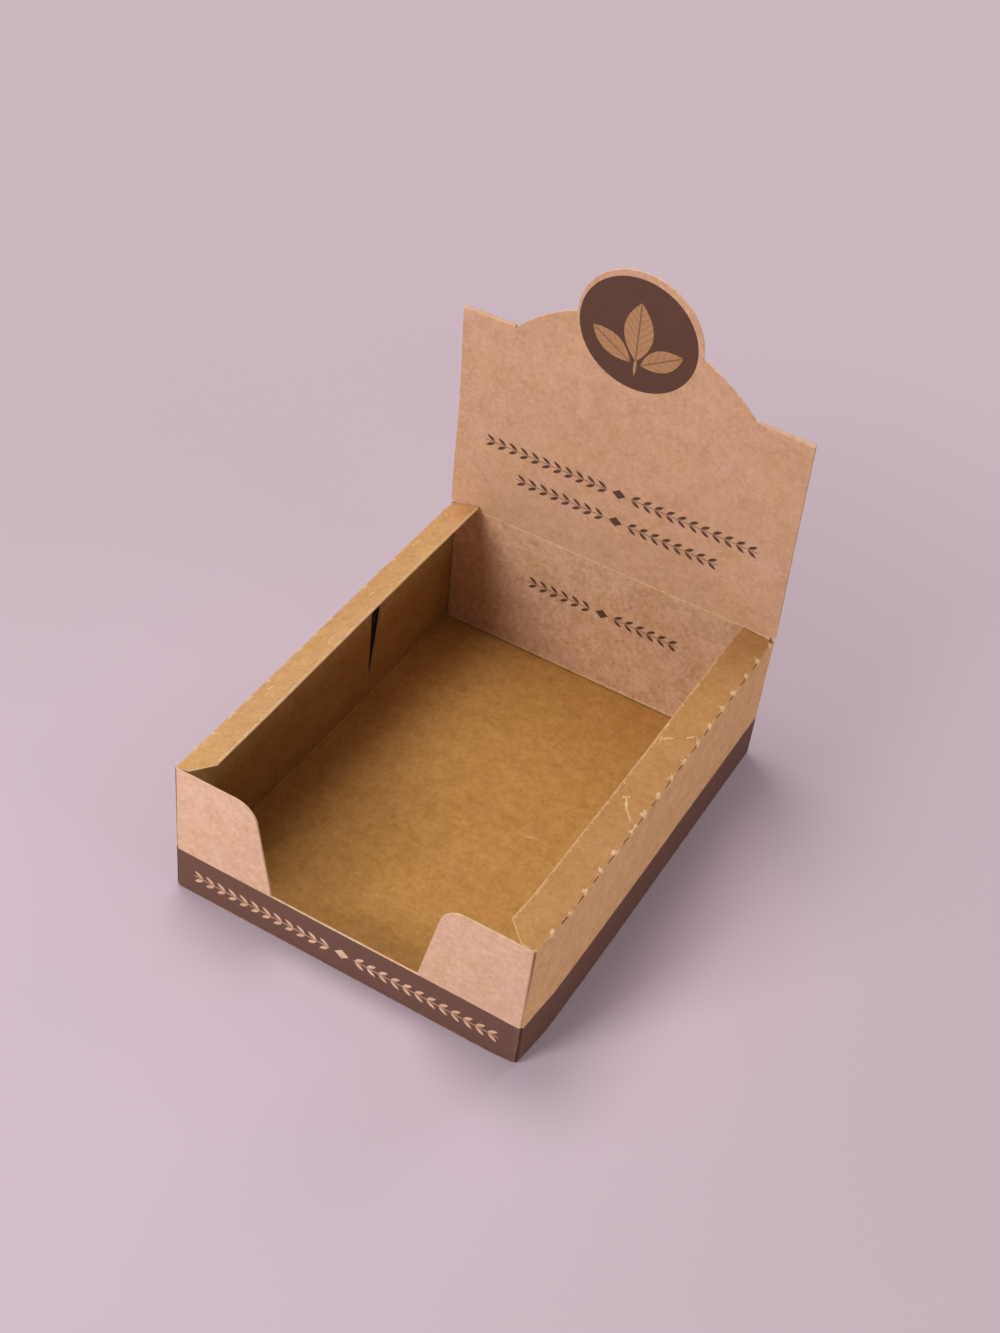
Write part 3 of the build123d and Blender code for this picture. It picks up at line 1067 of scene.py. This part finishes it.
def top_flap(name, side, lift, twist, face):
    """A strip along the top of a side wall, sprung up from its perforated fold."""
    wall = side * HALF_WIDTH
    rise = math.sin(lift)
    run = math.cos(lift)
    face_x = HINGE.x + rise * BOARD / 2
    face_z = HINGE.z + run * BOARD / 2
    corner_reach = (HALF_WIDTH - face_x) / run
    fold_z = face_z - corner_reach * rise
    sheet = start_sheet(
        name,
        (wall, 0, (GLUE_TOP + fold_z) / 2),
        (2 * SIDE_HALF, fold_z - GLUE_TOP),
        (RIGHT_ANGLE, 0, side * RIGHT_ANGLE),
    )
    flap_end = FLAP_BACK + FLAP_SLANT
    cut((0, flap_end, 0), (0, 1, 0))
    edge = wall
    for start, end in ((-corner_reach, MITRE_START), (MITRE_START, FLAP_WIDTH)):
        spread = end - start
        extrude_edges(
            lambda p: near(p.x, edge) and p.z > fold_z - NEAR and p.y < flap_end + NEAR,
            (-side * run * spread, 0, rise * spread),
        )
        edge -= side * run * spread
        slant = FLAP_SLANT * (end - max(start, 0)) / FLAP_WIDTH
        move_verts(lambda p: near(p.x, edge) and near(p.y, flap_end), (0, -slant, 0))
        flap_end -= slant
    move_verts(lambda p: near(p.x, edge) and near(p.y, -SIDE_HALF), (0, FLAP_MITRE, 0))
    round_edges(lambda p: near(p.x, wall) and near(p.z, fold_z), FLAP_ROUND)
    divide(Vector((-HALF_WIDTH, -SIDE_HALF, GLUE_TOP)), Vector((HALF_WIDTH, SIDE_HALF, fold_z)))
    thicken(sheet, face)
    carve(sheet, slot_cutter(wall, fold_z))
    settle(sheet, twist)
    body = name.replace("_sheet", "")
    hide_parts(body)
    fold_z - FLAP_ROUND
    fold_z + BOARD / 2
    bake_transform(sheet)


def slot_cutter(wall, fold_z):
    """A row of thin blades along a fold, one in front of each bridge but the first."""
    bpy.ops.mesh.primitive_cube_add(size=1, location=(wall, 0, fold_z))
    blades = bpy.context.object
    blades.scale = (BLADE_DEPTH, SLOT_LENGTH, SLOT_WIDTH)
    blades.rotation_euler = (0, math.copysign(1, wall) * -RIGHT_ANGLE / 2, 0)
    blades.location.y = BRIDGE_FIRST + BRIDGE_PITCH - SLOT_SHIFT
    bpy.ops.object.transform_apply(location=True, rotation=True, scale=True)
    apply_modifier(
        blades,
        "ARRAY",
        count=SLOT_COUNT,
        use_relative_offset=False,
        use_constant_offset=True,
        constant_offset_displace=(0, BRIDGE_PITCH, 0),
    )
    return blades


tray_shell()
header_sheet()
top_flap("left_flap_sheet", -1, LEFT_LIFT, LEFT_TWIST, left_flap_face)
top_flap("right_flap_sheet", 1, RIGHT_LIFT, 0, right_flap_face)


# Stage

FLOOR_SPREAD = 8.0
FLOOR_DROP = 0.0002           # the floor lies just clear of the underside of the tray
FLOOR_COLOUR = ink(206, 186, 199)
FLOOR_ROUGHNESS = 0.9
FLOOR_SPECULAR = 0.1
BACKDROP_COLOUR = ink(204, 183, 191)
BACKDROP_NEAR = 0.05          # the floor fades into the backdrop between these distances; starting this close, the glow also paints light over the box's shadow
BACKDROP_FAR = 0.50
WORLD_COLOUR = (1.0, 0.97, 0.96, 1.0)
WORLD_LEVEL = 0.17
WHITE = (1.0, 1.0, 1.0)
WARM_WHITE = (1.0, 0.98, 0.95)
LIGHT_TARGET = Vector((0, 0, 0.04))
PHOTO_HEIGHT = 1333           # pixels
CAMERA_FOCUS = 1993.2         # focal length in pixels of the photograph
CAMERA_PLACE = Vector((0.24478, -0.50650, 0.58791))
CAMERA_VIEW = Vector((-0.32125, 0.67050, -0.66876))
CAMERA_UP = Vector((-0.39935, 0.54441, 0.73766))
CAMERA_NEAREST = 0.01         # nothing closer than this is shown
SENSOR = 36.0

# Each light's name, place, size, power in watts and colour
STUDIO_LIGHTS = (
    ("top_light", (-0.28, 0.14, 1.02), 0.48, 5.3, WARM_WHITE),
    ("front_light", (-0.28, -0.75, 0.45), 0.30, 4.6, WHITE),
    ("right_light", (1.20, -0.20, 0.18), 0.30, 4.4, WHITE),
    ("back_light", (0.30, 1.20, 0.80), 0.60, 4.0, WHITE),
)


def looked_at(nodes):
    """1 on the rays that show the backdrop, and 0 on those by which it would light the box."""
    rays = ("Is Camera Ray", "Is Glossy Ray", "Is Transmission Ray")
    return nodes.most(*[nodes.add("ShaderNodeLightPath", output=ray) for ray in rays])


def studio_floor():
    """A plain pale floor that holds the shadow of the box, lifted a little by painted light from the
    backdrop's glow, and fades into the backdrop further out.
    """
    bpy.ops.mesh.primitive_plane_add(size=FLOOR_SPREAD, location=(0, 0, -FLOOR_DROP))
    floor = bpy.context.object
    floor.name = "studio_floor"
    material = bpy.data.materials.new("floor_paper")
    material.use_nodes = True
    nodes = Nodes(material.node_tree)
    lit = nodes.add(
        "ShaderNodeBsdfPrincipled",
        {},
        {"Base Color": FLOOR_COLOUR, "Roughness": FLOOR_ROUGHNESS, "Specular IOR Level": FLOOR_SPECULAR},
    )
    glow = nodes.add("ShaderNodeEmission", {}, {"Color": BACKDROP_COLOUR})
    place = nodes.add("ShaderNodeNewGeometry", output="Position")
    faded = nodes.vector("LENGTH", place, output="Value").above(BACKDROP_NEAR, BACKDROP_FAR)
    # painted light: the glow starts 5 cm out, so it also lightens the box's shadow on the floor
    shown = nodes.add("ShaderNodeMixShader", {}, {0: faded * looked_at(nodes), 1: lit, 2: glow})
    nodes.add("ShaderNodeOutputMaterial", {}, {"Surface": shown})
    floor.data.materials.append(material)


def soft_box(name, place, size, power, colour):
    """A square studio light that faces the box."""
    lamp = bpy.data.lights.new(name, "AREA")
    lamp.shape = "SQUARE"
    lamp.size = size
    lamp.energy = power
    lamp.color = colour
    light = bpy.data.objects.new(name, lamp)
    light.location = place
    light.rotation_euler = (LIGHT_TARGET - Vector(place)).to_track_quat("-Z", "Y").to_euler()
    bpy.context.scene.collection.objects.link(light)


def studio_light():
    """Soft lights round the box, and a backdrop that is seen but doesn't light it."""
    world = bpy.data.worlds.new("studio")
    world.use_nodes = True
    nodes = Nodes(world.node_tree)
    lit = nodes.add("ShaderNodeBackground", {}, {"Color": WORLD_COLOUR, "Strength": WORLD_LEVEL})
    glow = nodes.add("ShaderNodeBackground", {}, {"Color": BACKDROP_COLOUR})
    shown = nodes.add("ShaderNodeMixShader", {}, {0: looked_at(nodes), 1: lit, 2: glow})
    nodes.add("ShaderNodeOutputWorld", {}, {"Surface": shown})
    bpy.context.scene.world = world
    for light in STUDIO_LIGHTS:
        soft_box(*light)


def photo_camera():
    """The camera of the photograph, as fitted to the straight edges of the box."""
    lens = bpy.data.cameras.new("photo_camera")
    lens.sensor_width = SENSOR
    lens.sensor_fit = "AUTO"
    lens.lens = SENSOR * CAMERA_FOCUS / PHOTO_HEIGHT
    lens.clip_start = CAMERA_NEAREST
    camera = bpy.data.objects.new("photo_camera", lens)
    backward = -CAMERA_VIEW.normalized()
    right = CAMERA_UP.cross(backward).normalized()
    up = backward.cross(right)
    turn = Matrix((right, up, backward)).transposed().to_4x4()
    camera.matrix_world = Matrix.Translation(CAMERA_PLACE) @ turn
    bpy.context.scene.collection.objects.link(camera)
    bpy.context.scene.camera = camera


studio_floor()
studio_light()
photo_camera()
bpy.context.scene.view_settings.view_transform = "Standard"
